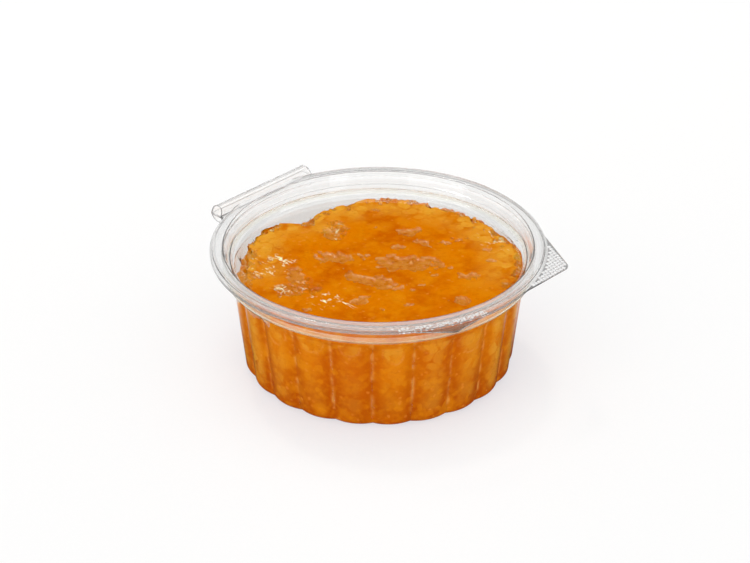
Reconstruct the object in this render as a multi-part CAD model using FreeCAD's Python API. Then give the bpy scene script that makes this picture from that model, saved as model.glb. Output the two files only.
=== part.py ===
"""A clear thermoformed tub with a hinged plug-fit lid, full of apricot filling.

Frame: millimetres, +Z up, origin on the tub's axis at the underside of its foot.
+Y is the hinge side and -Y is the side with the two pull tabs.
Both clear pieces are one thin sheet each. A sheet is made as the solid under its upper
face less the solid under its lower face, so that it keeps one thickness everywhere.
"""
import FreeCAD, Part
import math
import os
from FreeCAD import Vector

# The clear sheet and the fits
SHEET = 0.45            # thickness of the clear sheet
PARTING_GAP = 0.10      # between the lid's flange and the tub's flange
LID_GAP = 0.20          # between the lid's panel and the filling under it
WALL_GAP = 0.10         # between the filling and the sheet round it

# The tub
TUB_HEIGHT = 44.2       # floor to the upper face of the tub's flange
FLANGE_RADIUS = 58.6    # outer edge of both flanges
FLANGE_WIDTH = 4.6      # flange, from its outer edge in to the rim wall
RIM_DEPTH = 4.9         # upper face of the flange down to the bead
RIM_DRAFT = 1.0         # how far the rim wall closes in over that depth
BEAD_HEIGHT = 1.8       # the bead that runs round under the rim wall
BEAD_PROUD = 0.9        # how far the bead stands out of the rim wall
SHOULDER_HEIGHT = 1.9   # slope from the bead in to the fluted wall
SHOULDER_WIDTH = 2.6    # how far the fluted wall's top lies inside the bead
WALL_DRAFT = 6.4        # degrees, slope of the fluted wall
FOOT_ROUND = 3.0        # radius between the wall and the floor

# The flutes
FLUTE_COUNT = 22
FLUTE_DEPTH = 1.2       # crest to valley
FLUTE_FADE = 4.0        # height over which the flutes run out under the shoulder

# The stiffening ring pressed up into the floor
RING_RADIUS = 30.0      # middle of the ring
RING_WIDTH = 5.0
RING_HEIGHT = 1.0

# The lid
BAND_HEIGHT = 1.25      # top of the rim band over the lid's flange
LIP_WIDTH = 0.75        # flange lip outside the rim band
PLUG_GAP = 0.26         # between the plug wall and the tub's rim wall, at the parting plane
PLUG_DEPTH = 6.5        # top of the rim band down to the panel
LEDGE_DEPTH = 3.8       # top of the rim band down to the ledge in the plug wall
LEDGE_WIDTH = 0.8
PLUG_DRAFT = 0.41       # inward run of the plug wall for each millimetre of depth
PANEL_ROUND = 1.7       # sloped margin between the plug wall and the flat panel

# The hinge: two ribs, arched up and down, that meet at the fold
HINGE_LENGTH = 45.8
RIB_WIDTH = 5.0
RIB_RISE = 3.2          # lid's rib over the parting plane
RIB_DROP = 3.5          # tub's rib under the parting plane
RIB_ROUND = 2.2         # radius of a rib's long edges
RIB_END_LEAN = 20.0     # degrees, lean of a rib's ends
FOLD_REACH = 1.9        # fold line, outside the flange's edge

# The pull tabs, side by side on a common front edge
TAB_FRONT = 57.8        # front edge, from the tub's axis
TAB_ROUND = 3.0         # radius of each tab's corner
LID_TAB = (33.9, 45.0, 20.3)     # x of the corner, then x of the root and how far back it is
TUB_TAB = (-24.0, -33.5, 9.5)

# The filling's free edge under the lid: (angle from +X in degrees, distance in from the wall)
FREE_EDGE = (
    (0, 5.2), (24, 5.2), (46, 5.4), (56, 8.6), (68, 9.8), (79, 12.2), (88, 14.6), (96, 8.2),
    (106, 4.9), (120, 4.2), (133, 6.0), (145, 4.8), (160, 3.2), (185, 3.7), (215, 3.2),
    (245, 3.9), (275, 3.0), (292, 2.2), (308, 1.2), (324, 1.9), (338, 5.0), (349, 4.2),
)
FREE_SLOPE = 40.0       # degrees, slope of the filling from that edge down to the wall

SMALLEST_ROUND = 0.12   # an offset corner with less than this is left sharp
DEEP = 12.0             # depth below the parting plane of the solids that are subtracted


def offset_profile(points, distance):
    """Moves an open outline of (r, z, corner radius) to its left by distance."""
    moved = []
    for i, (r, z, radius) in enumerate(points):
        normals = []
        for a, b in ((i - 1, i), (i, i + 1)):
            if a < 0 or b >= len(points):
                continue
            dr = points[b][0] - points[a][0]
            dz = points[b][1] - points[a][1]
            length = math.hypot(dr, dz)
            normals.append((-dz / length, dr / length))
        if len(normals) == 1:
            n = normals[0]
            moved.append((r + n[0] * distance, z + n[1] * distance, radius))
            continue
        n1, n2 = normals
        scale = distance / (1.0 + n1[0] * n2[0] + n1[1] * n2[1])
        turn = n1[0] * n2[1] - n1[1] * n2[0]
        if radius > 0:
            radius -= math.copysign(distance, turn * distance)
        if radius < SMALLEST_ROUND:
            radius = 0
        moved.append((r + (n1[0] + n2[0]) * scale, z + (n1[1] + n2[1]) * scale, radius))
    return moved


def rounded_face(corners):
    """Flat face from (point, corner radius) pairs, with arcs in the rounded corners."""
    edges = []
    first = last = None
    for i, (corner, radius) in enumerate(corners):
        before = corners[i - 1][0]
        after = corners[(i + 1) % len(corners)][0]
        to_before = (before - corner).normalize()
        to_after = (after - corner).normalize()
        angle = to_before.getAngle(to_after)
        arc = None
        start = end = corner
        if radius > 0 and abs(math.pi - angle) > 0.01:
            run = radius / math.tan(angle / 2)
            start = corner + to_before * run
            end = corner + to_after * run
            centre = corner + (to_before + to_after).normalize() * (radius / math.sin(angle / 2))
            middle = centre + (corner - centre).normalize() * radius
            arc = Part.Arc(start, middle, end).toShape()
        if last is None:
            first = start
        else:
            edges.append(Part.LineSegment(last, start).toShape())
        if arc:
            edges.append(arc)
        last = end
    edges.append(Part.LineSegment(last, first).toShape())
    return Part.Face(Part.Wire(edges))


def turned(points):
    """Solid of revolution about Z of an outline of (r, z, corner radius)."""
    face = rounded_face([(Vector(r, 0, z), radius) for r, z, radius in points])
    return face.revolve(Vector(0, 0, 0), Vector(0, 0, 1), 360)


def polar(radius, degrees, z):
    angle = math.radians(degrees)
    return Vector(radius * math.cos(angle), radius * math.sin(angle), z)


# Sizes worked out from the values above
rim_radius = FLANGE_RADIUS - FLANGE_WIDTH                   # inner face of the rim wall at the top
bead_top_z = TUB_HEIGHT - RIM_DEPTH
bead_radius = rim_radius + SHEET - RIM_DRAFT + BEAD_PROUD
shoulder_z = bead_top_z - BEAD_HEIGHT
flute_top_z = shoulder_z - SHOULDER_HEIGHT
flute_top_radius = bead_radius - SHOULDER_WIDTH - BEAD_PROUD / 2
lid_under_z = TUB_HEIGHT + PARTING_GAP
lid_flange_z = lid_under_z + SHEET
lid_top_z = lid_flange_z + BAND_HEIGHT
panel_z = lid_top_z - PLUG_DEPTH
filling_top_z = panel_z - SHEET - LID_GAP
fold_y = FLANGE_RADIUS + FOLD_REACH
rib_y = fold_y - RIB_WIDTH / 2


def crest_radius(z):
    """Radius of the flutes' crests on the outside of the wall."""
    return flute_top_radius - (flute_top_z - z) * math.tan(math.radians(WALL_DRAFT))


def fluted_wire(z, radius, depth):
    """One turn of outward arcs that meet in valleys; a plain circle where depth is 0."""
    pitch = 360.0 / FLUTE_COUNT
    arcs = []
    for i in range(FLUTE_COUNT):
        middle = i * pitch
        arcs.append(Part.Arc(
            polar(radius - depth, middle - pitch / 2, z),
            polar(radius, middle, z),
            polar(radius - depth, middle + pitch / 2, z)).toShape())
    return Part.Wire(arcs)


def fluted_body(inset):
    """The fluted wall and rounded floor as a closed solid, inset from its outer face."""
    rounding = FOOT_ROUND - inset
    foot = []
    for turn in (0.0, 22.5, 45.0, 67.5, 90.0):
        z = inset + rounding * (1 - math.cos(math.radians(turn)))
        back = rounding * (1 - math.sin(math.radians(turn)))
        foot.append(fluted_wire(z, crest_radius(z) - inset - back, FLUTE_DEPTH))
    fade_z = flute_top_z - FLUTE_FADE
    run_out = []
    for share in (0.0, 0.33, 0.67, 1.0):
        z = fade_z + FLUTE_FADE * share
        depth = FLUTE_DEPTH * (0.5 + 0.5 * math.cos(math.pi * share))
        run_out.append(fluted_wire(z, crest_radius(z) - inset, depth))
    wall = Part.makeLoft([foot[-1], run_out[0]], True, True)
    return wall.fuse([Part.makeLoft(foot, True, False), Part.makeLoft(run_out, True, False)])


def rim_outline():
    """The tub's outer face from the top of the flutes up to the flange's edge."""
    wall_foot = rim_radius + SHEET - RIM_DRAFT
    flange_under = TUB_HEIGHT - SHEET
    return [
        (flute_top_radius, flute_top_z, 0),
        (flute_top_radius, flute_top_z + 0.5, 0.8),
        (bead_radius, shoulder_z, 0.7),
        (bead_radius, shoulder_z + BEAD_HEIGHT / 2, 0.5),
        (wall_foot, bead_top_z, 0.6),
        (rim_radius + SHEET, flange_under, 0.6),
        (FLANGE_RADIUS, flange_under, 0),
    ]


def ring_solid(inset):
    """The ring pressed up into the floor, grown by inset."""
    half = RING_WIDTH / 2 + inset
    top = RING_HEIGHT + inset
    slope = RING_HEIGHT * 0.6
    return turned([
        (RING_RADIUS - half, -1, 0),
        (RING_RADIUS + half, -1, 0),
        (RING_RADIUS + half, 0, 0),
        (RING_RADIUS + half - slope, top, 0.5),
        (RING_RADIUS - half + slope, top, 0.5),
        (RING_RADIUS - half, 0, 0),
    ])


def tub_solid(inset):
    """Everything inside the tub's wall, inset from its outer face. Inset 0 has the flange."""
    outline = offset_profile(rim_outline(), inset)
    outline[0] = (flute_top_radius - inset, flute_top_z, 0)
    if inset:
        outline = outline[:-1]
        outline[-1] = (outline[-1][0], TUB_HEIGHT, 0)
    else:
        outline.append((FLANGE_RADIUS, TUB_HEIGHT, 0))
    outline += [(0, TUB_HEIGHT, 0), (0, flute_top_z, 0)]
    return fluted_body(inset).fuse(turned(outline)).cut(ring_solid(inset)).Solids[0]


def lid_outline():
    """The lid's upper face from its axis out to the flange's edge."""
    band_outer = FLANGE_RADIUS - LIP_WIDTH
    band_inner = (rim_radius - PLUG_GAP - SHEET * math.hypot(1, PLUG_DRAFT)
                  + PLUG_DRAFT * (lid_top_z - TUB_HEIGHT))
    ledge_radius = band_inner - PLUG_DRAFT * LEDGE_DEPTH
    foot_radius = ledge_radius - LEDGE_WIDTH - PLUG_DRAFT * (PLUG_DEPTH - LEDGE_DEPTH)
    return [
        (0, panel_z, 0),
        (foot_radius - PANEL_ROUND, panel_z, 2.0),
        (foot_radius, panel_z + 0.4, 0.9),
        (ledge_radius - LEDGE_WIDTH, lid_top_z - LEDGE_DEPTH - 0.2, 0.5),
        (ledge_radius, lid_top_z - LEDGE_DEPTH, 0.5),
        (band_inner, lid_top_z, 0.5),
        (band_outer, lid_top_z, 0.6),
        (band_outer, lid_flange_z, 0),
        (FLANGE_RADIUS, lid_flange_z, 0),
    ]


def lid_solid(inset):
    """Everything under the lid's upper face, down to a depth, inset from that face."""
    outline = offset_profile(lid_outline(), -inset)
    outline[0] = (0, outline[0][1], 0)
    outline[-1] = (FLANGE_RADIUS, outline[-1][1], 0)
    floor = lid_under_z - DEEP
    return turned(outline + [(FLANGE_RADIUS, floor, 0), (0, floor, 0)])


def plate(corners, low, high):
    """A flat plate from corners (x, y, corner radius), clear of the rim wall inside it."""
    face = rounded_face([(Vector(x, y, low), radius) for x, y, radius in corners])
    root = Part.makeCylinder(FLANGE_RADIUS - FLANGE_WIDTH / 2, high - low, Vector(0, 0, low))
    return face.extrude(Vector(0, 0, high - low)).cut(root)


def hinge_plate(low, high):
    """The straight ear behind the flange, out to the fold."""
    half = HINGE_LENGTH / 2
    root = 0.8 * FLANGE_RADIUS
    return plate([(-half, root, 0), (half, root, 0), (half, fold_y, 0), (-half, fold_y, 0)],
                 low, high)


def tab_plate(tab, low, high):
    """A pull tab's plate: a straight front edge, one rounded corner and a slanted side."""
    corner_x, root_x, root_back = tab
    inner = 0.8 * FLANGE_RADIUS
    middle = math.copysign(4.0, corner_x)
    return plate([
        (middle, -inner, 0),
        (middle, -TAB_FRONT, 0),
        (corner_x, -TAB_FRONT, TAB_ROUND),
        (root_x, root_back - TAB_FRONT, 0),
        (corner_x / 2, -inner, 0)], low, high)


def rib(base_z, rise, inset):
    """A hinge rib with leaning ends that rises (or drops) from base_z, inset from its face."""
    side = math.copysign(1.0, rise)
    half_width = RIB_WIDTH / 2 - inset
    height = abs(rise) - inset
    lean = math.tan(math.radians(RIB_END_LEAN))
    half_length = HINGE_LENGTH / 2 - inset * math.hypot(1.0, lean)
    across = [
        (-half_width, 0, 0),
        (half_width, 0, 0),
        (half_width, height, RIB_ROUND - inset),
        (-half_width, height, RIB_ROUND - inset),
    ]
    section = rounded_face([(Vector(-HINGE_LENGTH / 2, rib_y + y, base_z + side * z), radius)
                            for y, z, radius in across])
    along = [
        (-half_length, 0),
        (half_length, 0),
        (half_length - lean * height, height),
        (lean * height - half_length, height),
    ]
    keep = rounded_face([(Vector(x, rib_y - RIB_WIDTH, base_z + side * z), 0) for x, z in along])
    return section.extrude(Vector(HINGE_LENGTH, 0, 0)).common(keep.extrude(Vector(0, 2 * RIB_WIDTH, 0)))


def make_tub():
    low = TUB_HEIGHT - SHEET
    outside = tub_solid(0.0)
    for piece in (hinge_plate(low, TUB_HEIGHT), tab_plate(TUB_TAB, low, TUB_HEIGHT),
                  rib(TUB_HEIGHT, -RIB_DROP, 0.0)):
        outside = outside.fuse(piece)
    inside = tub_solid(SHEET)
    return outside.cut(inside).cut(rib(TUB_HEIGHT, -RIB_DROP, SHEET)).Solids[0]


def make_lid():
    upper = lid_solid(0.0)
    lower = lid_solid(SHEET)
    floor = lid_under_z - DEEP
    upper = upper.fuse([hinge_plate(floor, lid_flange_z), tab_plate(LID_TAB, floor, lid_flange_z)])
    lower = lower.fuse([hinge_plate(floor, lid_under_z), tab_plate(LID_TAB, floor, lid_under_z)])
    upper = upper.fuse(rib(lid_under_z, RIB_RISE, 0.0))
    lower = lower.fuse(rib(lid_under_z, RIB_RISE, SHEET))
    return upper.cut(lower).Solids[0]


def free_surface():
    """Closed solid whose side is the filling's free surface, sloping out and down."""
    wall = crest_radius(flute_top_z) - SHEET
    drop = (max(inset for _, inset in FREE_EDGE) + 3.0) * math.tan(math.radians(FREE_SLOPE))
    run = drop / math.tan(math.radians(FREE_SLOPE))
    wires = []
    for z, spread in ((filling_top_z - drop, run), (filling_top_z, 0.0)):
        curve = Part.BSplineCurve()
        curve.interpolate(Points=[polar(wall - inset + spread, angle, z)
                                  for angle, inset in FREE_EDGE], PeriodicFlag=True)
        wires.append(Part.Wire(curve.toShape()))
    skirt = Part.makeLoft(wires, True, True)
    base = Part.makeCylinder(FLANGE_RADIUS, filling_top_z - drop)
    return base.fuse(skirt)


def make_filling():
    return tub_solid(SHEET + WALL_GAP).common(free_surface()).Solids[0]


def main():
    os.makedirs("parts", exist_ok=True)
    for name, make in (("tub", make_tub), ("lid", make_lid), ("filling", make_filling)):
        shape = make()
        shape.exportStep("parts/" + name + ".step")
        box = shape.BoundBox
        print(f"{name}: {len(shape.Solids)} solid, valid {shape.isValid()}, "
              f"volume {shape.Volume / 1000:.2f} cm3, faces {len(shape.Faces)}, "
              f"z {box.ZMin:.2f} to {box.ZMax:.2f}, y {box.YMin:.2f} to {box.YMax:.2f}")


main()
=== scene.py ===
# %% [markdown]
# # A clear tub of apricot filling
#
# This lesson dresses a fixed model of a clear, fluted tub with a hinged lid. The tub is
# full of apricot filling: a thick, wet preserve with soft lumps of fruit in it. Two things
# make or break the look. The clear sheet has to read as thin plastic, and the filling has
# to look wet, lumpy and a little see-through.

# %% Load the fixed frame
import math

import bpy
import numpy as np
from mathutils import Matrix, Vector, noise
from mathutils.bvhtree import BVHTree


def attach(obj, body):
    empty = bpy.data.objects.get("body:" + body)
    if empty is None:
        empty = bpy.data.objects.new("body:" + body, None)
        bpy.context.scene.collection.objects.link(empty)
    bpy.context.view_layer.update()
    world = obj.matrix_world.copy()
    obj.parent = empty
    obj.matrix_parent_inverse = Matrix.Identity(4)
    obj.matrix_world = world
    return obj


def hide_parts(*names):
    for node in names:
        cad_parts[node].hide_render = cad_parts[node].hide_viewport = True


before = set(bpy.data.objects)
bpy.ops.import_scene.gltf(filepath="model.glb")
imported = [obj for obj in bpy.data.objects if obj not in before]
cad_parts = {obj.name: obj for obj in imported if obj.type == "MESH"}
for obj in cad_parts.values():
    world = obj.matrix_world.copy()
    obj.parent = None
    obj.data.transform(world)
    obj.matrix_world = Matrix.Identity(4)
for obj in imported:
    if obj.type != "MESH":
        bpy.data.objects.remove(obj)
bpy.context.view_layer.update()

MM = 0.001

# %% [markdown]
# The camera comes first, because every finish is judged through it. The tub is seen from a
# little above, from the side of its pull tabs, through a long lens, which keeps the round
# rim from looking stretched.

# %% Camera
VIEW_TURN = math.radians(-46.65)
VIEW_RISE = math.radians(28.9)
VIEW_DISTANCE = 812 * MM
LENS = 112.2
rim_centre = Vector((0, 0, 46 * MM))
aim = Vector((-0.8 * MM, 0.9 * MM, 30.2 * MM))
towards_camera = Vector((
    math.sin(VIEW_TURN) * math.cos(VIEW_RISE),
    -math.cos(VIEW_TURN) * math.cos(VIEW_RISE),
    math.sin(VIEW_RISE)))

bpy.ops.object.camera_add(location=rim_centre + towards_camera * VIEW_DISTANCE)
camera = bpy.context.object
camera.rotation_euler = (aim - camera.location).to_track_quat("-Z", "Y").to_euler()
camera.data.sensor_width = 36
camera.data.lens = LENS
camera.data.clip_start = 0.02
bpy.context.scene.camera = camera
print("camera at", [round(v, 3) for v in camera.location])

# %% [markdown]
# A studio would stand the tub on white acrylic under one very large soft lamp. A sun lamp
# with a wide angle does that: its light is even over the whole floor, and its shadow has a
# soft edge. Wide suns from the front and both sides fill the shade between the flutes. One
# small lamp behind the tub is there for its glints.

# %% Floor and lights
bpy.ops.mesh.primitive_plane_add(size=8)
floor = bpy.context.object
floor.name = "floor"
floor.location.z = -0.1 * MM

UP = Vector((0, 0, 1))
across_view = Vector((math.cos(VIEW_TURN), math.sin(VIEW_TURN), 0))
away_from_camera = Vector((-towards_camera.x, -towards_camera.y, 0)).normalized()


def add_lamp(kind, name, energy, direction, distance=0.0):
    """A lamp whose light comes from a direction; a sun may stand anywhere."""
    bpy.ops.object.light_add(type=kind, location=direction * distance)
    lamp = bpy.context.object
    lamp.name = name
    lamp.data.energy = energy
    lamp.rotation_euler = direction.to_track_quat("Z", "Y").to_euler()
    print(name, "energy", energy)
    return lamp.data


behind = away_from_camera * 0.34 + across_view * 0.04 + UP * 0.94
add_lamp("SUN", "soft_sun", 0.6, behind).angle = math.radians(50)
glint_from = away_from_camera * 0.50 - across_view * 0.20 + UP * 0.9
add_lamp("AREA", "glint_lamp", 1.2, glint_from, distance=1.0).size = 0.12
in_front = towards_camera - across_view * 0.25
add_lamp("SUN", "front_fill", 1.1, in_front).angle = math.radians(100)
for side in (-1, 1):
    beside = across_view * side * 0.85 - away_from_camera * 0.45 + UP * 0.12
    add_lamp("SUN", "side_fill", 0.55, beside).angle = math.radians(80)

# %% [markdown]
# A finish is a tree of nodes. A few helpers keep the later cells short: they add a node with
# its values, mix two colours by a mask, and stretch a value. Each takes the tree it works in.

# %% Helpers for materials
def new_material(name):
    """A material with a Principled shader; returns the material, its tree and the shader."""
    material = bpy.data.materials.new(name)
    material.use_nodes = True
    return material, material.node_tree, material.node_tree.nodes["Principled BSDF"]


def add_node(tree, kind, **values):
    """Adds a node; values that name an input socket set it, others set a property."""
    node = tree.nodes.new(kind)
    for name, value in values.items():
        socket = name.replace("_", " ")
        if socket in node.inputs:
            node.inputs[socket].default_value = value
        else:
            setattr(node, name, value)
    return node


def plug(tree, value, socket):
    """Links a value that comes from a node, or sets a plain number or colour."""
    if isinstance(value, bpy.types.NodeSocket):
        tree.links.new(value, socket)
    else:
        socket.default_value = value


def maths(tree, operation, *values):
    """A Math node with its one, two or three values."""
    node = add_node(tree, "ShaderNodeMath", operation=operation)
    for value, socket in zip(values, node.inputs):
        plug(tree, value, socket)
    return node.outputs[0]


def vectors(tree, operation, *values):
    """A Vector Math node; gives a number for LENGTH and DOT_PRODUCT, else a vector."""
    node = add_node(tree, "ShaderNodeVectorMath", operation=operation)
    for value, socket in zip(values, node.inputs):
        plug(tree, value, socket)
    return node.outputs["Value" if operation in ("LENGTH", "DOT_PRODUCT") else "Vector"]


def spread(tree, value, low, high, to_low=0.0, to_high=1.0):
    """Stretches a value from low..high to to_low..to_high, with soft ends."""
    ramp = add_node(tree, "ShaderNodeMapRange", interpolation_type="SMOOTHSTEP",
                    From_Min=low, From_Max=high, To_Min=to_low, To_Max=to_high)
    plug(tree, value, ramp.inputs["Value"])
    return ramp.outputs["Result"]


def plain_noise(tree, place, size, detail):
    """Noise with patches of a size in metres."""
    node = add_node(tree, "ShaderNodeTexNoise", Scale=1 / size, Detail=detail)
    plug(tree, place, node.inputs["Vector"])
    return node.outputs["Fac"]


def mix_colours(tree, mask, below, above):
    """The colour below where the mask is 0, the one above where it is 1."""
    mix = add_node(tree, "ShaderNodeMix", data_type="RGBA")
    for value, name in ((mask, "Factor"), (below, "A"), (above, "B")):
        plug(tree, value, mix.inputs[name])
    return mix.outputs["Result"]


def mix_shaders(tree, mask, below, above):
    """The same for two shaders."""
    mix = add_node(tree, "ShaderNodeMixShader")
    for value, socket in zip((mask, below, above), mix.inputs):
        tree.links.new(value, socket)
    return mix.outputs["Shader"]


print("helpers ready")

# %% [markdown]
# Nothing here has one flat colour. The floor, the grips and the filling all change a little
# from place to place, and the same effect does it: a cloudy noise, plain or stretched into a
# mask. An effect that more than one finish uses is a node group, built once and placed in
# each with its own values. All it does here is mix colours.

# %% Shared effect: cloud
cloud_group = bpy.data.node_groups.new("cloud", "ShaderNodeTree")
cloud_group.interface.new_socket("Vector", in_out="INPUT", socket_type="NodeSocketVector")
for title in ("Scale", "Detail", "Low", "High"):
    cloud_group.interface.new_socket(title, in_out="INPUT", socket_type="NodeSocketFloat")
for title in ("Cloud", "Mask"):
    cloud_group.interface.new_socket(title, in_out="OUTPUT", socket_type="NodeSocketFloat")

cloud_in = add_node(cloud_group, "NodeGroupInput").outputs
cloud_out = add_node(cloud_group, "NodeGroupOutput").inputs
cloud_noise = add_node(cloud_group, "ShaderNodeTexNoise")
for title in ("Vector", "Scale", "Detail"):
    plug(cloud_group, cloud_in[title], cloud_noise.inputs[title])
cloud_mask = add_node(cloud_group, "ShaderNodeMapRange", interpolation_type="SMOOTHSTEP")
plug(cloud_group, cloud_noise.outputs["Fac"], cloud_mask.inputs["Value"])
plug(cloud_group, cloud_in["Low"], cloud_mask.inputs["From Min"])
plug(cloud_group, cloud_in["High"], cloud_mask.inputs["From Max"])
plug(cloud_group, cloud_noise.outputs["Fac"], cloud_out["Cloud"])
plug(cloud_group, cloud_mask.outputs["Result"], cloud_out["Mask"])


def cloud(tree, place, size, detail, low=0.0, high=1.0, output="Mask"):
    """Cloudy noise of a size in metres; Mask is stretched from low..high, Cloud is not."""
    node = add_node(tree, "ShaderNodeGroup", node_tree=cloud_group, Scale=1 / size,
                    Detail=detail, Low=low, High=high)
    plug(tree, place, node.inputs["Vector"])
    return node.outputs[output]


print("cloud group sockets:", [item.name for item in cloud_group.interface.items_tree])

# %% [markdown]
# The sky of the studio is bright card all round, which keeps clear plastic pale. Only one
# stretch of it is dark: the part whose mirror image would lie on the flat lid and veil the
# colour under it. In a real studio a black card hangs there for the same reason.

# %% Sky with one dark card
SKY_BRIGHTNESS = 0.72
CARD_BEGINS = 0.92      # how nearly a way points along the mirror image: 1 is exactly
CARD_FULL = 0.985
world = bpy.data.worlds.new("studio")
world.use_nodes = True
sky_tree = world.node_tree
sky = sky_tree.nodes["Background"]
mirror_way = Vector((-towards_camera.x, -towards_camera.y, towards_camera.z))
way = add_node(sky_tree, "ShaderNodeTexCoord").outputs["Generated"]
along_mirror = vectors(sky_tree, "DOT_PRODUCT", way, mirror_way)
sky_strength = spread(sky_tree, along_mirror, CARD_BEGINS, CARD_FULL, SKY_BRIGHTNESS, 0.0)
plug(sky_tree, sky_strength, sky.inputs["Strength"])
sky.inputs["Color"].default_value = (1, 1, 1, 1)
bpy.context.scene.world = world
bpy.context.scene.view_settings.view_transform = "Standard"
print("dark card towards", [round(v, 2) for v in mirror_way])

# %% [markdown]
# The floor is a light table: white acrylic lit a little from below. Its own glow fills the
# shadow, so that the shadow stays pale and takes on little of the orange. A faint, fine
# mottle keeps it from looking like a hole. In mirror images the stretch in front of the tub
# is dark, as if a black card lay there, and so the fluted front isn't veiled. Light Path
# tells such rays apart.

# %% Material: light table
TABLE_GLOW = (0.465, 0.536, 0.592, 1)
TABLE_WARM = (0.43, 0.37, 0.32, 1)
TABLE_WARM_LIGHT = (0.45, 0.39, 0.34, 1)
BLACK_CARD = (0.02, 0.02, 0.02, 1)
BLACK_CARD_GLOW = (0.016, 0.018, 0.020, 1)
MOTTLE_SIZE = 1 / 900           # metres, so about 1.1 mm
CARD_REACH = 0.20, 0.45         # metres from the tub over which the card fades
CARD_FAR = 0.45                 # how much of it is left past that
CARD_SIDE = -0.045, 0.005       # metres towards the camera over which it sets in

table_finish, table, table_shader = new_material("light_table")
table_place = add_node(table, "ShaderNodeTexCoord").outputs["Object"]
table_mottle = cloud(table, table_place, MOTTLE_SIZE, 3.0, output="Cloud")
table_tint = mix_colours(table, table_mottle, TABLE_WARM, TABLE_WARM_LIGHT)

ray = add_node(table, "ShaderNodeLightPath").outputs
mirrored = maths(table, "MULTIPLY", ray["Is Glossy Ray"], ray["Is Reflection Ray"])
from_tub = vectors(table, "LENGTH", table_place)
card_reach = spread(table, from_tub, *CARD_REACH, 1.0, CARD_FAR)
towards_front = vectors(table, "DOT_PRODUCT", table_place, -away_from_camera)
card_side = spread(table, towards_front, *CARD_SIDE)
card_here = maths(table, "MULTIPLY", card_reach, card_side)
seen_in_mirror = maths(table, "MULTIPLY", mirrored, card_here)

table_colour = mix_colours(table, seen_in_mirror, table_tint, BLACK_CARD)
table_glow = mix_colours(table, seen_in_mirror, TABLE_GLOW, BLACK_CARD_GLOW)
plug(table, table_colour, table_shader.inputs["Base Color"])
plug(table, table_glow, table_shader.inputs["Emission Color"])
table_shader.inputs["Emission Strength"].default_value = 1.0
table_shader.inputs["Roughness"].default_value = 0.9
table_shader.inputs["Specular IOR Level"].default_value = 0.0
floor.data.materials.append(table_finish)
print("light table:", len(table.nodes), "nodes")

# %% [markdown]
# The tub and its lid are one thin sheet of clear PET each. The solid has a real thickness,
# so a plain glass-like shader bends the light at every ring and flute as the real sheet
# does. PET isn't quite clear everywhere, so the finish has to know where on the tub a point
# lies: how far from the axis, and how high.

# %% Clear sheet: shader and places
clear, sheet, clear_shader = new_material("clear_sheet")
clear_shader.inputs["Transmission Weight"].default_value = 1.0
clear_shader.inputs["Roughness"].default_value = 0.03
clear_shader.inputs["IOR"].default_value = 1.55

sheet_place = add_node(sheet, "ShaderNodeTexCoord").outputs["Object"]
sheet_axes = add_node(sheet, "ShaderNodeSeparateXYZ")
plug(sheet, sheet_place, sheet_axes.inputs["Vector"])
reach = vectors(sheet, "LENGTH", vectors(sheet, "MULTIPLY", sheet_place, (1, 1, 0)))
high = sheet_axes.outputs["Z"]
back = sheet_axes.outputs["Y"]

# Each pair of sizes is a soft step: a mask changes from the first size to the second.
RIM_EDGE = 53.8 * MM, 54.8 * MM
RIM_HEIGHT = 43.2 * MM, 43.6 * MM
TAB_ROOTS = 58.5 * MM, 59.0 * MM
TAB_SIDE = -40 * MM, -30 * MM
BEAD_BOTTOM = 35.0 * MM, 36.2 * MM
BEAD_TOP = 39.1 * MM, 39.7 * MM
OUTSIDE_LID = 52.6 * MM, 53.2 * MM
FOLD = 56.5 * MM, 57.5 * MM

past_rim = spread(sheet, reach, *RIM_EDGE)
near_top = spread(sheet, high, *RIM_HEIGHT)
on_flange = maths(sheet, "MULTIPLY", past_rim, near_top)
above_foot = spread(sheet, high, *BEAD_BOTTOM)
below_top = spread(sheet, high, *BEAD_TOP, 1.0, 0.0)
outside_lid = spread(sheet, reach, *OUTSIDE_LID)
on_bead = maths(sheet, "MULTIPLY", maths(sheet, "MULTIPLY", above_foot, below_top), outside_lid)
past_flange = maths(sheet, "MULTIPLY", spread(sheet, reach, *TAB_ROOTS), near_top)
on_tabs = maths(sheet, "MULTIPLY", past_flange, spread(sheet, back, *TAB_SIDE, 1.0, 0.0))
print("clear sheet: masks for flange, bead and tabs made")

# %% [markdown]
# Where the sheet was stretched or welded it is a little milky: on the inner half of the
# flange, on the bead and at the fold of the hinge. A thin share of a white diffuse shader is
# that haze; on the bead it is tinted warm, a painted reflection of the orange filling. Under
# the tabs' pattern the sheet's tint is darker: painted shade, for the light that leaves it
# sideways.

# %% Clear sheet: haze and tint
FLANGE_HAZE = 0.22
LIP_HAZE = 0.02
LIP_CLEARS = 55.8 * MM, 57.4 * MM
BEAD_HAZE = 0.16
FOLD_HAZE = 0.13
STREAK_SIZE = 6.25 * MM
LEAST_STREAK = 0.6
WALL_TINT = (0.94, 0.94, 0.935, 1)
RIM_TINT = (0.99, 0.99, 0.988, 1)
# painted shade: the sheet under the tabs is tinted darker
TAB_SHADE_TINT = (0.46, 0.46, 0.46, 1)
MILK = (0.87, 0.865, 0.86, 1)
# painted reflection of the orange filling in the bead's haze
BEAD_REFLECTION_MILK = (0.80, 0.76, 0.52, 1)

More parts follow.
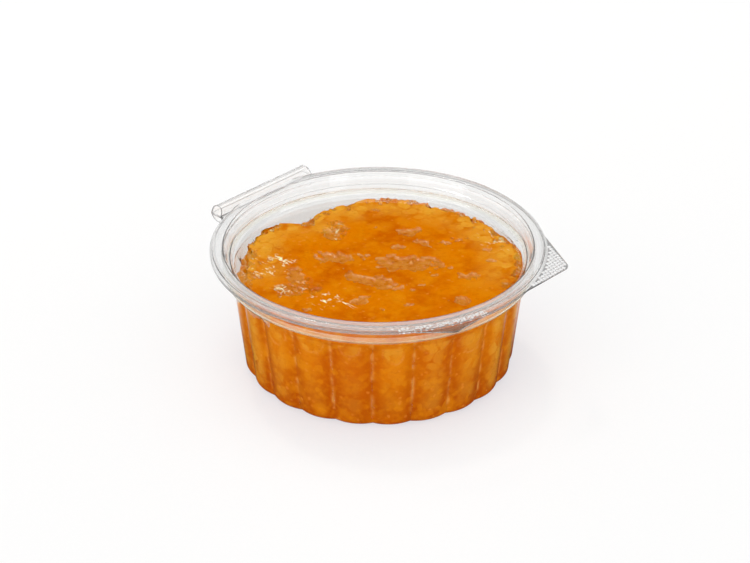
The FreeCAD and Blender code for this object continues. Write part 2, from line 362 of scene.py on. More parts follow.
streaks = plain_noise(sheet, sheet_place, STREAK_SIZE, 2.0)
uneven = spread(sheet, streaks, 0.30, 0.70, LEAST_STREAK, 1.0)
to_lip = spread(sheet, reach, *LIP_CLEARS, FLANGE_HAZE, LIP_HAZE)
flange_haze = maths(sheet, "MULTIPLY", on_flange, to_lip)
bead_haze = maths(sheet, "MULTIPLY", maths(sheet, "MULTIPLY", on_bead, BEAD_HAZE), uneven)
fold_haze = maths(sheet, "MULTIPLY", spread(sheet, back, *FOLD, 0.0, FOLD_HAZE), uneven)
haze = maths(sheet, "MAXIMUM", maths(sheet, "MAXIMUM", flange_haze, bead_haze), fold_haze)

at_rim = maths(sheet, "MAXIMUM", past_rim, near_top)
rim_tint = mix_colours(sheet, at_rim, WALL_TINT, RIM_TINT)
sheet_tint = mix_colours(sheet, on_tabs, rim_tint, TAB_SHADE_TINT)
plug(sheet, sheet_tint, clear_shader.inputs["Base Color"])
milky = add_node(sheet, "ShaderNodeBsdfDiffuse")
plug(sheet, mix_colours(sheet, on_bead, MILK, BEAD_REFLECTION_MILK), milky.inputs["Color"])
hazed = mix_shaders(sheet, haze, clear_shader.outputs["BSDF"], milky.outputs["BSDF"])
print("clear sheet: haze up to", max(FLANGE_HAZE, BEAD_HAZE, FOLD_HAZE))

# %% [markdown]
# Light Path lets the lamps through for shadows and bounced light: a real sheet hardly
# darkens what is in it, and tracing that light through four faces would only add noise.

# %% Clear sheet: let the lamps through, and put it on the two CAD nodes
sheet_ray = add_node(sheet, "ShaderNodeLightPath").outputs
lamp_ray = maths(sheet, "MAXIMUM", sheet_ray["Is Shadow Ray"], sheet_ray["Is Diffuse Ray"])
see_through = add_node(sheet, "ShaderNodeBsdfTransparent", Color=(0.97, 0.975, 0.975, 1))
sheet_surface = mix_shaders(sheet, lamp_ray, hazed, see_through.outputs["BSDF"])
plug(sheet, sheet_surface, sheet.nodes["Material Output"].inputs["Surface"])
for name in ("tub", "lid"):
    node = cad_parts[name]
    node.data.materials.clear()
    node.data.materials.append(clear)
    print(name, "has the finish", clear.name)

# %% [markdown]
# The little squares on the pull tabs are scuffed white by being pressed into the sheet, so
# they are half milky. The grooves between them stay clear, and the painted shade in the sheet
# under the tabs makes them look darker.

# %% Material: scuffed squares
SCUFF_SIZE = 1 / 1500       # metres, so about 0.7 mm
SCUFF_GREY = (0.90, 0.90, 0.90, 1)
SCUFF_WHITE = (0.98, 0.98, 0.98, 1)
scuffed, scuff, scuffed_shader = new_material("scuffed_sheet")
scuff_place = add_node(scuff, "ShaderNodeTexCoord").outputs["Object"]
scuff_mottle = cloud(scuff, scuff_place, SCUFF_SIZE, 2.0, output="Cloud")
scuff_tint = mix_colours(scuff, scuff_mottle, SCUFF_GREY, SCUFF_WHITE)
plug(scuff, scuff_tint, scuffed_shader.inputs["Base Color"])
scuffed_shader.inputs["Transmission Weight"].default_value = 0.25
scuffed_shader.inputs["Roughness"].default_value = 0.3
scuffed_shader.inputs["IOR"].default_value = 1.5
print("scuffed squares:", len(scuff.nodes), "nodes")

# %% [markdown]
# The filling is one body that was poured in, pressed flat under the lid, and left a gap at
# the back where it doesn't quite reach the wall. Its overall form is already in the frame,
# so a copy of that is the start. A copy has loose triangles of very uneven size, so it is
# merged and remeshed to even small faces, which can then take lumps and dents.

# %% Filling: an even skin
SKIN = 0.62 * MM


def deselect_all():
    """Leaves edit mode and selects nothing, so that the next operator acts on one piece."""
    if bpy.context.mode != "OBJECT":
        bpy.ops.object.mode_set(mode="OBJECT")
    bpy.ops.object.select_all(action="DESELECT")


def make_active(piece):
    """Selects one piece, and nothing else."""
    deselect_all()
    piece.select_set(True)
    bpy.context.view_layer.objects.active = piece


def apply_modifier(piece, kind, **values):
    """Adds a modifier with its values and applies it at once."""
    make_active(piece)
    modifier = piece.modifiers.new(kind.lower(), kind)
    for name, value in values.items():
        setattr(modifier, name, value)
    bpy.ops.object.modifier_apply(modifier=modifier.name)


filling = bpy.data.objects.new("apricot_filling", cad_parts["filling"].data.copy())
bpy.context.scene.collection.objects.link(filling)
make_active(filling)
bpy.ops.object.mode_set(mode="EDIT")
bpy.ops.mesh.select_all(action="SELECT")
bpy.ops.mesh.remove_doubles(threshold=0.002 * MM)
bpy.ops.object.mode_set(mode="OBJECT")
apply_modifier(filling, "REMESH", mode="VOXEL", voxel_size=SKIN)
print("filling skin:", len(filling.data.vertices), "vertices")

# %% [markdown]
# The skin is now shaped as a sculptor would, by moving its points. All of them are read
# into one table and moved together, each by its own share. A share between 0 and 1 is a
# mask, and the helpers here make such masks from noise, from an angle or from a soft step.

# %% Helpers for points
def read_points(piece):
    """The piece's points as a table with one row of x, y, z for each."""
    points = np.empty(len(piece.data.vertices) * 3, np.float32)
    piece.data.vertices.foreach_get("co", points)
    return points.reshape(-1, 3)


def write_points(piece, points):
    """Puts the table of points back into the piece."""
    piece.data.vertices.foreach_set("co", points.astype(np.float32).ravel())
    piece.data.update()


def ease(low, high, values):
    """0 below low, 1 above high, and a smooth step between."""
    share = np.clip((values - low) / (high - low), 0, 1)
    return share * share * (3 - 2 * share)


def grain_noise(points, size, detail=3, seed=0.0):
    """Fractal noise between about -1 and 1, with lumps of the given size."""
    shift = Vector((seed * 7.3, seed * 3.1, seed * 5.7))
    return np.array([noise.fractal(Vector(p) / size + shift, 1.0, 2.0, detail) for p in points])


def polar_of(points):
    """Radius and angle in degrees, 0 to 360, of each point about the tub's axis."""
    angle = np.degrees(np.arctan2(points[:, 1], points[:, 0])) % 360
    return np.hypot(points[:, 0], points[:, 1]), angle


def apart(angle, other):
    """How many degrees lie between two angles, the shorter way round."""
    return np.abs((angle - other + 180) % 360 - 180)


def between(angle, first, last, fade=8.0):
    """1 between two angles in degrees, fading out past them."""
    half = (last - first) / 2
    return 1 - ease(half, half + fade, apart(angle, (first + last) / 2))


points = read_points(filling)
print("filling skin has", len(points), "points")

# %% [markdown]
# Two places are pared away first. Behind the bead and the shoulder of the tub the thick
# filling never flowed in, so air shows there as a pale band. At the back and on the left the
# edge under the lid is steep and ragged, and the wall beside it is clear.

# %% Filling: pare away the bead and the steep edge
BEAD_FOOT = 35.6 * MM
BEHIND_BEAD = 50.7 * MM
STRAIGHT_DOWN = 4.5 * MM
EDGE_STEP = 4.0                             # degrees
STEEP_PARTS = (94, 172), (-12, 40)          # degrees round the tub
RAGGED = (      # size, how far it is drawn upright, detail, seed, depth
    (4.0 * MM, 0.4, 3, 7.0, 2.2 * MM),
    (1.6 * MM, 0.6, 2, 8.0, 0.7 * MM),
)

top_z = points[:, 2].max()
radius, angle = polar_of(points)
lid_radius, lid_angle = polar_of(points[points[:, 2] > top_z - 0.3 * MM])
edge_angles = np.arange(0, 360, EDGE_STEP)
edge_at = np.array([lid_radius[apart(lid_angle, slot) < EDGE_STEP].max()
                    for slot in edge_angles])
edge = np.interp(angle, np.append(edge_angles, 360), np.append(edge_at, edge_at[0]))

keep_to = edge - 0.3 * MM
for size, upright, detail, seed, depth in RAGGED:
    keep_to += grain_noise(points * np.array((1, 1, upright)), size, detail, seed) * depth
keep_to += np.maximum(0, top_z - points[:, 2] - STRAIGHT_DOWN) * 0.8
steep_part = np.maximum(*(between(angle, *part) for part in STEEP_PARTS))
pared = radius + (np.minimum(keep_to, radius) - radius) * steep_part
in_bead = ease(BEAD_FOOT - 0.6 * MM, BEAD_FOOT, points[:, 2])
pared = np.minimum(pared, BEHIND_BEAD + (1 - in_bead) * 9 * MM)
points[:, :2] *= (pared / radius)[:, None]
radius = pared
print("edge under the lid runs from", np.round(edge_at.min() / MM, 1), "to",
      np.round(edge_at.max() / MM, 1), "mm from the axis")

# %% [markdown]
# Every point now asks one question: what am I touching? Where it lies against the sheet it
# is later pushed a hair into it, because a gap of air there would shine like a mirror. Where
# it touches nothing it is free to be lumpy.

# %% Filling: what touches what
TOUCH = 0.40 * MM
LET_GO = 1.2 * MM


def nearest_on(piece, points):
    """Nearest place on a piece for each point, and how far away it is."""
    tree = BVHTree.FromObject(piece, bpy.context.evaluated_depsgraph_get())
    places = np.empty_like(points)
    gaps = np.empty(len(points))
    for i, point in enumerate(points):
        place, _, _, gap = tree.find_nearest(Vector(point))
        places[i] = place
        gaps[i] = gap
    return places, gaps


tub_places, tub_gaps = nearest_on(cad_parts["tub"], points)
lid_places, lid_gaps = nearest_on(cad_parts["lid"], points)
on_wall = (1 - ease(TOUCH, LET_GO, tub_gaps)) * (1 - in_bead)
on_lid = 1 - ease(TOUCH, LET_GO, lid_gaps)
free = (1 - on_wall) * (1 - on_lid)
pressed = on_lid > 0.5
print(f"touching the tub {np.mean(on_wall > 0.5):.0%}, the lid {np.mean(pressed):.0%}, "
      f"free {np.mean(free > 0.5):.0%}")

# %% [markdown]
# Under the lid some flat bubbles of air were trapped, and they show as pale patches with
# ragged edges: each is a real hollow under the lid, with a painted sheen for its paleness.
# Each is given by its place, its two half sizes and its turn, and noise frays its outline.
# Two more places are wrinkled: the lid pulled at them. Their small creases, and those of
# three places more, get painted glints in the colour.

# %% Filling: patches under the lid
BUBBLES = (      # x, y, half length, half width in mm, turn in degrees
    (-8.9, 11.0, 7.6, 3.2, -47),
    (-12.5, -9.7, 10.6, 3.4, -69),
    (4.7, -9.7, 11.5, 5.6, -47),
    (22.0, 5.8, 5.4, 3.0, -47),
    (-25.6, -15.6, 3.0, 2.1, -47),
    (-26.9, 13.7, 3.0, 5.4, -60),
    (0.6, 24.2, 3.2, 3.0, -47),
    (11.3, 1.2, 2.3, 1.6, -47),
    (12.7, -31.4, 3.6, 2.8, -60),
    (18.7, -3.5, 3.0, 2.0, -75),
    (-1.9, -40.6, 3.4, 2.2, -47),
)
WRINKLES = (
    (-35.5, 7.0, 9.0, 7.0, -60),
    (4.0, 25.5, 5.5, 8.0, -47),
)
# places whose creases get painted glints in the filling's colour
GLINT_PLACES = WRINKLES + (
    (-30.0, 26.0, 14.0, 10.0, -60),
    (38.0, -20.0, 7.0, 12.0, -47),
    (-33.0, -8.0, 10.0, 6.0, -60),
)
SMALL_BUBBLES = 26
FLAT = np.array((1, 1, 0))


def patch_mask(points, patches, fray_size, fray_share, edge_width):
    """1 inside oval patches, 0 outside, with an edge frayed by noise."""
    flat = points / MM
    fray = grain_noise(points * FLAT, fray_size, 5, seed=1.0)
    inside = np.full(len(points), -1.0)
    for x, y, half_length, half_width, turn in patches:
        cosine = math.cos(math.radians(turn))
        sine = math.sin(math.radians(turn))
        along = (flat[:, 0] - x) * cosine + (flat[:, 1] - y) * sine
        across = (flat[:, 1] - y) * cosine - (flat[:, 0] - x) * sine
        inside = np.maximum(inside, 1 - np.hypot(along / half_length, across / half_width))
    return ease(0.0, edge_width, inside + fray * fray_share)


luck = np.random.default_rng(5)
small = []
while len(small) < SMALL_BUBBLES:
    x, y = luck.uniform(-42, 42, 2)
    if math.hypot(x, y) < 43:
        size = luck.uniform(0.8, 2.2), luck.uniform(0.5, 1.1)
        small.append((x, y, *size, luck.uniform(-75, -20)))
bubbles = patch_mask(points, BUBBLES + tuple(small), 3.0 * MM, 0.75, 0.16) * pressed
creases = grain_noise(points * np.array((1.0, 0.6, 1.0)), 2.2 * MM, 4, seed=4.0)
creases = np.clip(1 - np.abs(creases) * 2.2, 0, 1)
wrinkled = patch_mask(points, WRINKLES, 6 * MM, 0.45, 0.5) * pressed * (1 - bubbles)
wrinkled = wrinkled * (creases < 0.72)
glint_patch_mask = patch_mask(points, GLINT_PLACES, 6 * MM, 0.45, 0.6) * pressed
print(f"bubbles cover {np.mean(bubbles > 0.5) / np.mean(pressed):.0%} of the pressed top, "
      f"wrinkles {np.mean(wrinkled > 0.5) / np.mean(pressed):.0%}")

# %% [markdown]
# On the far side the filling's rim under the lid is loose: it sags and breaks into pieces.
# What is free of lid and wall gets soft lumps, pushed out along the skin's own normals.

# %% Filling: loose edge and lumps
LUMP_SIZE = 4.5 * MM
SMALL_LUMP_SIZE = 1.9 * MM
LUMP_HEIGHT = 1.3 * MM
LOOSE_WIDTH = 5.0 * MM

forward = points[:, 0] * towards_camera.x + points[:, 1] * towards_camera.y
far_side = 1 - ease(4 * MM, 22 * MM, forward)
fray = grain_noise(points * FLAT, 3.4 * MM, 4, seed=6.0)
loose_edge = ease(0.0, 0.18, 0.42 - (edge - radius) / LOOSE_WIDTH + fray) * pressed * far_side

lumps = grain_noise(points, LUMP_SIZE, 3, seed=2.0)
lumps += grain_noise(points, SMALL_LUMP_SIZE, 2, seed=3.0) * 0.45
lumpy = free * (1 - in_bead)
normals = np.empty(len(points) * 3, np.float32)
write_points(filling, points)
filling.data.vertices.foreach_get("normal", normals)
lifted = points + normals.reshape(-1, 3) * (lumps * lumpy * LUMP_HEIGHT)[:, None]
print(f"loose edge {np.mean(loose_edge > 0.5):.1%}, lumpy {np.mean(lumpy > 0.5):.1%} of the skin")

# %% [markdown]
# The skin is pushed into the sheet where it touches it, and drops where a bubble, a wrinkle
# or the loose edge is, so that each of these is a real hollow under the lid.

# %% Filling: push and drop
REACH = 0.15 * MM
BUBBLE_DEPTH = 0.35 * MM
WRINKLE_HEIGHT = 0.5 * MM


def pushed_into(points, places, gaps):
    """Moves points to REACH beyond the sheet's nearest face."""
    toward = (places - points) / np.maximum(gaps, 1e-6)[:, None]
    return points + toward * (gaps + REACH)[:, None]


def lerp(first, second, share):
    """Goes from the first points to the second ones by each point's share."""
    return first + (second - first) * share[:, None]


hollow = np.maximum(np.maximum(bubbles, wrinkled), loose_edge)
lifted = lerp(lifted, pushed_into(points, tub_places, tub_gaps), on_wall)
lifted = lerp(lifted, pushed_into(points, lid_places, lid_gaps), on_lid * (1 - hollow))
lifted[:, 2] -= bubbles * BUBBLE_DEPTH + wrinkled * (0.75 - creases) * WRINKLE_HEIGHT
lifted[:, 2] -= loose_edge * (0.9 + lumps * 0.8) * MM
write_points(filling, lifted)
make_active(filling)
bpy.ops.object.shade_smooth()
print("filling box in mm:", np.round(lifted.min(0) / MM, 1), np.round(lifted.max(0) / MM, 1))

# %% [markdown]
# The side is a ring of flutes. The filling in each is a column, paler along its middle by a
# painted highlight on the crest, with a painted highlight as a thin pale line in the valley
# between two and painted shade in the grooves beside it. Chunks of fruit lean on the wall at
# the top of the flutes, like half-moons. Each flute draws its own luck, so no two columns are
# alike, and four flutes towards the sides of the view are set golden as painted side light.

# %% Filling: columns and chunks in the flutes
FLUTES = 22
PITCH = 360.0 / FLUTES
INSIDE_FLUTES = 40 * MM
CHUNK_LINE = 0.98
SIDE_LIT_FLUTES = [9, 10, 17, 18]   # these four, towards the left and right of the view, are set golden: painted side light
# how golden the four side-lit flutes are: painted side light
SIDE_LIGHT_GOLD = 0.80

on_side = (radius > INSIDE_FLUTES) * (1 - in_bead)
on_columns = ease(3 * MM, 7 * MM, points[:, 2]) * on_side
to_arc = math.pi / 180 * radius
valley_off = np.abs((angle % PITCH) - PITCH / 2) * to_arc
crest_off = ((angle + PITCH / 2) % PITCH - PITCH / 2) * to_arc
flute_number = ((angle + PITCH / 2) // PITCH).astype(int) % FLUTES

# painted highlight: a thin pale line in each valley
valley_highlights = (1 - ease(0.1 * MM, 1.1 * MM, valley_off)) * on_columns
valley_highlights = valley_highlights * ease(-0.30, 0.35, grain_noise(points, 6 * MM, 3, seed=9.0))
# painted shade in the broad groove beside each valley
groove_shade_mask = (1 - ease(0.5 * MM, 5.0 * MM, valley_off)) * on_columns

luck = np.random.default_rng(11)
chunk_wide = luck.uniform(3.2, 5.8, FLUTES)[flute_number] * MM
chunk_tall = luck.uniform(3.5, 8.0, FLUTES)[flute_number] * MM
chunk_top = luck.uniform(33.0, 35.5, FLUTES)[flute_number] * MM
column_gold_and_side_light = luck.uniform(0.08, 0.42, FLUTES)
column_gold_and_side_light[SIDE_LIT_FLUTES] = SIDE_LIGHT_GOLD
# paler along each crest: a painted highlight, scaled by each flute's own share
columns = (1 - ease(1.2 * MM, 5.2 * MM, np.abs(crest_off))) * on_columns
columns = columns * column_gold_and_side_light[flute_number]

chunk_reach = np.hypot(crest_off / chunk_wide, (points[:, 2] - chunk_top) / chunk_tall)
chunk_reach += grain_noise(points, 3 * MM, 3, seed=12.0) * 0.22
below_top = (1 - ease(chunk_top, chunk_top + 0.6 * MM, points[:, 2])) * on_side
chunks = (1 - ease(0.80, CHUNK_LINE, chunk_reach)) * below_top
chunk_line = (1 - ease(0.0, 0.13, np.abs(chunk_reach - CHUNK_LINE))) * below_top
print(f"{FLUTES} flutes, chunks cover {np.mean(chunks > 0.5) / np.mean(on_side > 0.5):.0%}")

# %% [markdown]
# The finish has to follow these forms, so the masks go with the mesh, as attributes. The
# finish reads each by its name, and it stays right however the piece moves.

# %% Filling: hand the masks to the finish
near_edge = ease(-19 * MM, -5 * MM, radius - edge) * pressed * far_side
LAYERS = (
    ("bubble", bubbles),
    # painted valley highlights, and the chunks' pale outline
    ("valley_highlight_and_outline", np.maximum(valley_highlights, chunk_line * 0.5)),
    # painted shade in the grooves
    ("groove_shade", groove_shade_mask),
    ("wet", np.maximum(lumpy, hollow)),
    # thin filling, lumps and chunks, with the columns' painted crest highlight and side light
    ("thin_and_lit", np.maximum.reduce((near_edge, lumpy, chunks * 0.6, columns))),
    # where the painted glints go
    ("glint_zone", np.maximum(glint_patch_mask, np.maximum(loose_edge, lumpy) * 0.5)),
)
for title, values in LAYERS:
    layer = filling.data.attributes.new(title, "FLOAT", "POINT")
    layer.data.foreach_set("value", values.astype(np.float32))
    print(title, "mean", round(float(values.mean()), 3))

# %% [markdown]
# Apricot filling is a clear orange jelly with paler pieces of fruit in it. Its colour is
# laid on in layers, like glazes: first the jelly, then fruit, then what the sheet and the
# trapped air do to it, which is painted light. The jelly and fruit colours are the filling's
# own, as seen in white light; painted shade, highlights, glints and sheen are laid over them.

# %% Apricot filling: colours and fruit
DEEP_ORANGE = (0.59, 0.120, 0.0, 1)
ORANGE = (0.71, 0.190, 0.0, 1)
# painted shade low down and in the grooves; also small dark flecks of fruit
DARK_FLECK_AND_SHADE = (0.46, 0.080, 0.0, 1)
FRUIT_YELLOW = (0.75, 0.250, 0.004, 1)
# yellow of thin filling, also the painted highlight and side light in the flute columns
THIN_AND_LIT_YELLOW = (0.80, 0.360, 0.03, 1)
# painted sheen over the bubbles, also the colour of small peach flecks of fruit
PEACH_FLECK_AND_SHEEN = (0.78, 0.265, 0.030, 1)
# painted highlight on parts of the bubbles' edges
BUBBLE_EDGE_HIGHLIGHT = (0.92, 0.460, 0.120, 1)
# painted glint: a highlight laid into the colour
PAINTED_GLINT = (1.0, 0.95, 0.58, 1)
# painted highlight in the flutes' valleys
VALLEY_HIGHLIGHT_PEACH = (0.88, 0.42, 0.10, 1)

jam_finish, jam, jam_shader = new_material("apricot_filling")
jam_place = add_node(jam, "ShaderNodeTexCoord").outputs["Object"]
drawn_up = vectors(jam, "MULTIPLY", jam_place, (1.0, 1.0, 0.35))


def times(first, second):
    """Both masks at once, or a share of one."""
    return maths(jam, "MULTIPLY", first, second)


def patches(size, detail, low, high, place=jam_place):
    """A cloudy mask in the filling."""
    return cloud(jam, place, size, detail, low, high)


def layer_mask(name):
    """One of the masks that came with the mesh."""
    return add_node(jam, "ShaderNodeAttribute", attribute_name=name).outputs["Fac"]


def fruit_lumps(size, share, soft):
    """Rounded pieces of fruit: some of the cells of a bent Voronoi pattern."""
    bend = add_node(jam, "ShaderNodeTexNoise", Scale=0.45 / size, Detail=3.0)
    plug(jam, jam_place, bend.inputs["Vector"])
    bent = vectors(jam, "MULTIPLY_ADD", bend.outputs["Color"], (size * 1.3,) * 3, jam_place)
    cells = add_node(jam, "ShaderNodeTexVoronoi", feature="SMOOTH_F1", Scale=1 / size)
    cells.inputs["Smoothness"].default_value = 0.15
    plug(jam, bent, cells.inputs["Vector"])
    pick = add_node(jam, "ShaderNodeSeparateColor")
    plug(jam, cells.outputs["Color"], pick.inputs["Color"])
    chosen = spread(jam, pick.outputs["Red"], 1 - share - 0.08, 1 - share + 0.08)
    rounded = spread(jam, cells.outputs["Distance"], 0.62 - soft, 0.62, 1.0, 0.0)
    return times(chosen, rounded)


print("apricot filling: colours and helpers ready")

# %% [markdown]
# The jelly drifts between deep and bright orange. Over it, painted shade makes it darker low
# down and in the grooves beside the valleys.

# %% Apricot filling: jelly
SHADE_BELOW = 4 * MM, 28 * MM
GROOVE_SHADE_SHARE = 0.40
jam_axes = add_node(jam, "ShaderNodeSeparateXYZ")
plug(jam, jam_place, jam_axes.inputs["Vector"])
jelly = mix_colours(jam, patches(14 * MM, 2.0, 0.36, 0.60, drawn_up), DEEP_ORANGE, ORANGE)
# painted shade: darker towards the bottom
shade_low_down = spread(jam, jam_axes.outputs["Z"], *SHADE_BELOW, 1.0, 0.0)
low_shade_patches = times(shade_low_down, patches(7 * MM, 2.0, 0.10, 0.60, drawn_up))
jelly = mix_colours(jam, low_shade_patches, jelly, DARK_FLECK_AND_SHADE)
# painted shade in the grooves
groove_shade = times(layer_mask("groove_shade"), patches(12 * MM, 2.0, 0.10, 0.60, drawn_up))
jelly = mix_colours(jam, times(groove_shade, GROOVE_SHADE_SHARE), jelly, DARK_FLECK_AND_SHADE)
print("apricot filling:", len(jam.nodes), "nodes with the jelly")

# %% [markdown]
# Fruit lies in the jelly in pieces of every size, from chunks to flecks. Where the filling
# is thin, at its loose edge, more of the yellow shows. In the columns of the flutes the same
# yellow is a painted highlight along each crest, and a painted side light in four flutes.

# %% Apricot filling: fruit
pieces_there = maths(jam, "MAXIMUM", fruit_lumps(4.5 * MM, 0.65, 0.16),
                     times(patches(6 * MM, 3.0, 0.30, 0.60), 0.75))
FRUIT = (      # mask, share, colour
    (fruit_lumps(8 * MM, 0.34, 0.34), 0.50, FRUIT_YELLOW),
    (fruit_lumps(3.0 * MM, 0.20, 0.30), 0.45, FRUIT_YELLOW),
    (times(layer_mask("thin_and_lit"), pieces_there), 1.0, THIN_AND_LIT_YELLOW),
    (patches(2.2 * MM, 4.0, 0.42, 0.66), 0.30, FRUIT_YELLOW),
    (patches(1.6 * MM, 4.0, 0.52, 0.72), 0.22, DARK_FLECK_AND_SHADE),
    (fruit_lumps(1.3 * MM, 0.05, 0.25), 0.6, PEACH_FLECK_AND_SHEEN),
)
with_fruit = jelly
for mask, share, colour in FRUIT:
    with_fruit = mix_colours(jam, times(mask, share), with_fruit, colour)
print("apricot filling:", len(FRUIT), "layers of fruit")

# %% [markdown]
# Painted highlights stand as pale lines in the valleys of the flutes, and the same pale line
# runs round the chunks. A bubble veils the orange with a painted peach sheen, and its edge gets
# a painted highlight in places, where the filling pulls away.

# %% Apricot filling: painted highlights and bubble sheen
# the pale valley lines are painted highlights
valley_highlight_and_outline = times(layer_mask("valley_highlight_and_outline"), patches(4 * MM, 3.0, 0.25, 0.65))
with_valley_highlights = mix_colours(jam, times(valley_highlight_and_outline, 0.6), with_fruit, VALLEY_HIGHLIGHT_PEACH)
bubble = layer_mask("bubble")
# a bubble's peach veil is a painted sheen
bubble_sheen = times(bubble, patches(2.0 * MM, 4.0, 0.30, 0.58))
with_bubble_sheen = mix_colours(jam, bubble_sheen, with_valley_highlights, PEACH_FLECK_AND_SHEEN)
# a painted highlight along parts of a bubble's edge
bubble_edge_highlight = times(spread(jam, bubble, 0.15, 0.45), spread(jam, bubble, 0.6, 0.9, 1.0, 0.0))
bubble_edge_highlight = times(bubble_edge_highlight, patches(3.5 * MM, 3.0, 0.42, 0.60))
with_edge_highlights = mix_colours(jam, times(bubble_edge_highlight, 0.55), with_bubble_sheen, BUBBLE_EDGE_HIGHLIGHT)
print("apricot filling: streaks and bubbles laid over")

# %% [markdown]
# Fine creases under the lid get painted glints: thin bright lines laid into the colour, as if
# they caught the lamp. A line is where a stretched noise passes through its middle value, and
# a second noise breaks it into short pieces. Small painted glint specks go in the same places.

# %% Apricot filling: painted glints
CREASE_STRETCH = (1.0, 0.32, 1.0)
CREASE_SIZE = 3.2 * MM
glint_zone = layer_mask("glint_zone")
stretched = vectors(jam, "MULTIPLY", jam_place, CREASE_STRETCH)
crease_cloud = cloud(jam, stretched, CREASE_SIZE, 4.0, output="Cloud")
off_middle = maths(jam, "ABSOLUTE", maths(jam, "SUBTRACT", crease_cloud, 0.5))
crease_glint_lines = times(spread(jam, off_middle, 0.004, 0.022, 1.0, 0.0),
                    patches(4.0 * MM, 3.0, 0.47, 0.57))
# the crease lines and specks are painted highlights in the base colour
glint_specks = times(fruit_lumps(0.8 * MM, 0.14, 0.25), patches(2.5 * MM, 3.0, 0.45, 0.62))
glints = times(maths(jam, "MAXIMUM", crease_glint_lines, times(glint_specks, 0.35)), glint_zone)
jam_colour = mix_colours(jam, glints, with_edge_highlights, PAINTED_GLINT)
plug(jam, jam_colour, jam_shader.inputs["Base Color"])
print("apricot filling:", len(jam.nodes), "nodes with the glints")

# %% [markdown]
# Pressed against the sheet the filling has no shine of its own, because no air is between
# them. Where it is free it is wet, and a coat gives it that. A fine grain is the pulp. Some
# light goes under the surface, most of all the red, which softens the lumps.

# %% Apricot filling: wet surface
GRAIN_SIZE = 0.9 * MM
relief = add_node(jam, "ShaderNodeBump", Strength=0.35, Distance=0.25 * MM)
plug(jam, plain_noise(jam, jam_place, GRAIN_SIZE, 3.0), relief.inputs["Height"])
plug(jam, relief.outputs["Normal"], jam_shader.inputs["Normal"])
plug(jam, relief.outputs["Normal"], jam_shader.inputs["Coat Normal"])
plug(jam, layer_mask("wet"), jam_shader.inputs["Coat Weight"])
for title, value in (
        ("Coat Roughness", 0.05), ("Roughness", 0.5), ("Specular IOR Level", 0.0),
        ("Subsurface Weight", 0.3), ("Subsurface Radius", (1.0, 0.45, 0.1)),
        ("Subsurface Scale", 1.2 * MM)):
    jam_shader.inputs[title].default_value = value
filling.data.materials.clear()
filling.data.materials.append(jam_finish)

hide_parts("filling")
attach(filling, "tub")
print("filling has the finish", jam_finish.name)

# %% [markdown]
# The lid's pull tab is covered with small raised squares, laid like bricks, so that it
# doesn't slip through wet fingers. The tub's own tab has a finer grain of the same kind on
# its underside. One square is shaped with care, and each copy gets its own mesh and place.

# %% Helpers for the grip patterns
def grip_square(name, width, height, z):
    """One raised square: a low block whose edges are rounded over."""
    deselect_all()
    bpy.ops.mesh.primitive_cube_add(size=1, location=(0, 0, z))
    square = bpy.context.object
    square.name = name
    square.scale = (width, width, height)
    bpy.ops.object.transform_apply(location=True, rotation=True, scale=True)
    bpy.ops.object.mode_set(mode="EDIT")
    bpy.ops.mesh.select_all(action="SELECT")
    bpy.ops.mesh.bevel(offset=height * 0.42, segments=2, affect="EDGES")
    bpy.ops.object.mode_set(mode="OBJECT")
    return square


def tile(square, places):
    """Copies the square's mesh to each place and joins the copies into one piece."""
    deselect_all()
    copies = []
    for x, y in places:
        copy = bpy.data.objects.new(square.name, square.data.copy())
        bpy.context.scene.collection.objects.link(copy)
        copy.location = (x, y, 0)
        copy.select_set(True)
        copies.append(copy)
    bpy.context.view_layer.objects.active = copies[0]
    bpy.ops.object.transform_apply(location=True, rotation=True, scale=True)
    bpy.ops.object.join()
    piece = bpy.context.object
    piece.name = square.name + "_tiles"
    bpy.data.objects.remove(square)
    piece.data.materials.append(scuffed)
    print(piece.name, len(places), "squares")
    return piece


def brick_places(pitch, low, high, wanted):
    """Centres of a brick pattern between two corners, where wanted(x, y) is true."""
    rows = int((high[1] - low[1]) / pitch)
    columns = int((high[0] - low[0]) / pitch)
    places = []
    for row in range(rows + 1):
        for column in range(columns + 1):
            x = low[0] + (column + 0.5 * (row % 2)) * pitch
            y = low[1] + row * pitch
            if wanted(x, y):
                places.append((x, y))
    return places


# %% [markdown]
# The lid's tab is a wide triangle outside the round flange, with a rounded corner. A square
# is laid only where it lies wholly on the tab: outside the flange, clear of the front, of
# the slanting side and of the corner's arc.

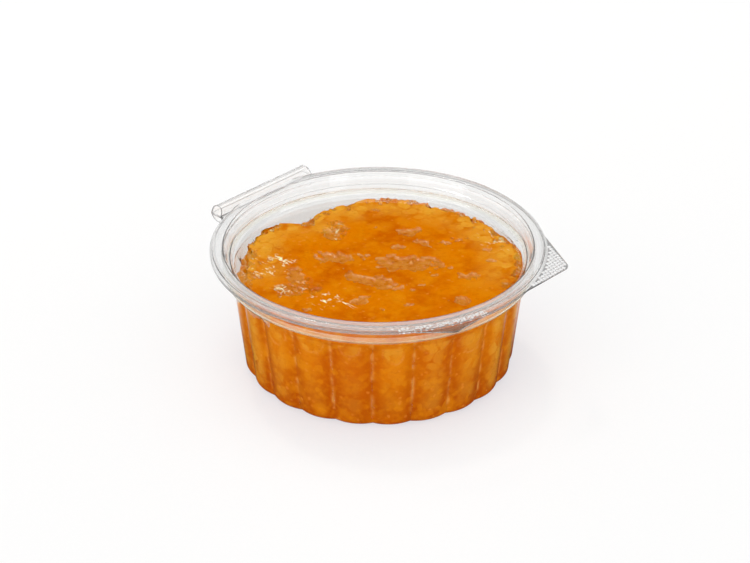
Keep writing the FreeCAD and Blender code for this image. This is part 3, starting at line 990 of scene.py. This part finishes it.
# %% Grip squares on the lid's tab
PAD_PITCH = 1.45 * MM
PAD_WIDTH = 1.12 * MM
PAD_HEIGHT = 0.34 * MM
LID_FLANGE_TOP = 44.75 * MM
FLANGE_EDGE = 58.6 * MM
TAB_FRONT = -57.8 * MM
TAB_CORNER_X = 33.9 * MM
TAB_ROOT = (45.0 * MM, -37.5 * MM)
TAB_MARGIN = 0.65 * MM
CORNER_X = TAB_CORNER_X - 2.4 * MM
CORNER_Y = TAB_FRONT + 3 * MM
CORNER_ROUND = 2.6 * MM
side_lean = (TAB_ROOT[0] - TAB_CORNER_X) / (TAB_ROOT[1] - TAB_FRONT)


def on_lid_tab(x, y):
    """Whether a square centred here lies wholly on the lid's tab."""
    side = TAB_CORNER_X + (y - TAB_FRONT) * side_lean
    near_corner = x > CORNER_X and y < CORNER_Y
    past_corner = near_corner and math.hypot(x - CORNER_X, y - CORNER_Y) > CORNER_ROUND
    return (math.hypot(x, y) > FLANGE_EDGE + 0.5 * MM and y > TAB_FRONT + TAB_MARGIN
            and x < side - TAB_MARGIN and not past_corner)


pad = grip_square("lid_grip", PAD_WIDTH, PAD_HEIGHT, LID_FLANGE_TOP + 0.12 * MM)
lid_grip = tile(pad, brick_places(PAD_PITCH, (10 * MM, -57 * MM), (46 * MM, -36 * MM), on_lid_tab))
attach(lid_grip, "lid")

# %% [markdown]
# Under the tub's flange the grain is finer and worn: a quarter of its squares are missing,
# and the rest have shifted a little.

# %% Grip grain under the tub's flange
GRAIN_PITCH = 1.05 * MM
GRAIN_WIDTH = 0.72 * MM
GRAIN_HEIGHT = 0.30 * MM
GRAIN_LEFT = 0.75
GRAIN_SHIFT = 0.2
TUB_FLANGE_UNDER = 43.75 * MM
FLANGE_BAND = 54.9 * MM, 58.0 * MM


def on_tub_flange(x, y):
    """Whether a square centred here lies wholly under the tub's flange."""
    return FLANGE_BAND[0] < math.hypot(x, y) < FLANGE_BAND[1]


grain = grip_square("tub_grip", GRAIN_WIDTH, GRAIN_HEIGHT, TUB_FLANGE_UNDER - 0.11 * MM)
shake = np.random.default_rng(3)
grain_places = []
for x, y in brick_places(GRAIN_PITCH, (-37 * MM, -58 * MM), (-8 * MM, -41 * MM), on_tub_flange):
    if shake.random() < GRAIN_LEFT:
        grain_places.append((x + shake.uniform(-GRAIN_SHIFT, GRAIN_SHIFT) * MM,
                             y + shake.uniform(-GRAIN_SHIFT, GRAIN_SHIFT) * MM))
tub_grip = tile(grain, grain_places)
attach(tub_grip, "tub")
